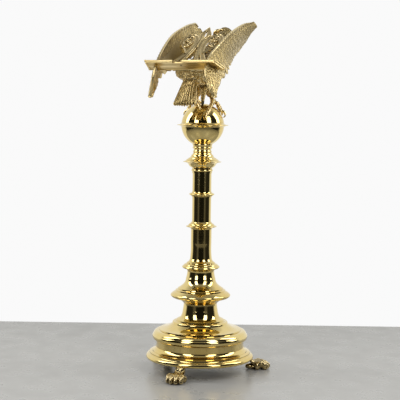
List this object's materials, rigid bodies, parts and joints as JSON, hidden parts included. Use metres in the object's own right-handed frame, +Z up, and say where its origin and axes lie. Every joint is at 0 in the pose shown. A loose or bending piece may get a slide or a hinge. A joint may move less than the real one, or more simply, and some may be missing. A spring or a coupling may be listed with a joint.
{
  "type": "eagle lectern",
  "caption": "Free-standing brass lectern: paw feet, stepped round base, ringed column, orb, and an eagle that carries a sloping openwork book rest with a moulded ledge.",
  "frame": {"origin": "on the floor, under the column's axis and the middle of the base", "axes": "+Z up; the reader stands at -Y and faces +Y, the eagle faces +Y; +X is the reader's right"},
  "size_m": [0.6102, 0.676, 1.645],
  "materials": {
    "polished_brass": "lathe-turned, mirror polished and lacquered",
    "cast_brass": "cast and chased, satin with polished high spots",
    "satin_brass": "satin polished",
    "steel": "machined",
    "dark_screws": "oil-blacked",
    "cast_iron": "as cast, painted black",
    "bronze": "machined bearing bronze"
  },
  "bodies": {
    "stand": {"foot_front": "cast_brass", "foot_right": "cast_brass", "foot_left": "cast_brass", "foot_bolts": "steel", "base_flange": "polished_brass", "base_drum": "polished_brass", "base_dome": "polished_brass", "base_spider": "cast_iron", "lower_neck": "polished_brass", "knop": "polished_brass", "upper_neck": "polished_brass", "foot_collar": "polished_brass", "shaft_lower": "polished_brass", "ring_lower": "polished_brass", "shaft_middle": "polished_brass", "ring_upper": "polished_brass", "shaft_upper": "polished_brass", "astragal": "polished_brass", "capital_flange": "polished_brass", "ribbed_neck": "polished_brass", "orb_lower": "polished_brass", "orb_ring": "polished_brass", "tie_rod": "steel", "tie_rod_washer": "steel", "tie_rod_nut": "steel", "pivot_spindle": "steel", "thrust_washer": "steel", "spindle_nut": "steel"},
    "eagle": {"orb_upper": "polished_brass", "bearing_plate": "bronze", "pivot_bush": "bronze", "eagle_body": "cast_brass", "eagle_head": "cast_brass", "wing_right": "cast_brass", "wing_left": "cast_brass", "tail": "cast_brass", "leg_right": "cast_brass", "leg_left": "cast_brass", "talons_right": "cast_brass", "talons_left": "cast_brass", "desk_post": "satin_brass", "scroll_rest": "cast_brass", "ledge_shelf": "satin_brass", "ledge_rim_right": "satin_brass", "ledge_rim_left": "satin_brass", "ledge_end_right": "satin_brass", "ledge_end_left": "satin_brass", "ledge_screws": "dark_screws"}
  },
  "joints": [
    {"name": "eagle_swivel", "type": "hinge", "parent": "stand", "child": "eagle", "pos_m": [0, 0, 1.148], "axis": [0, 0, 1], "continuous": true}
  ]
}
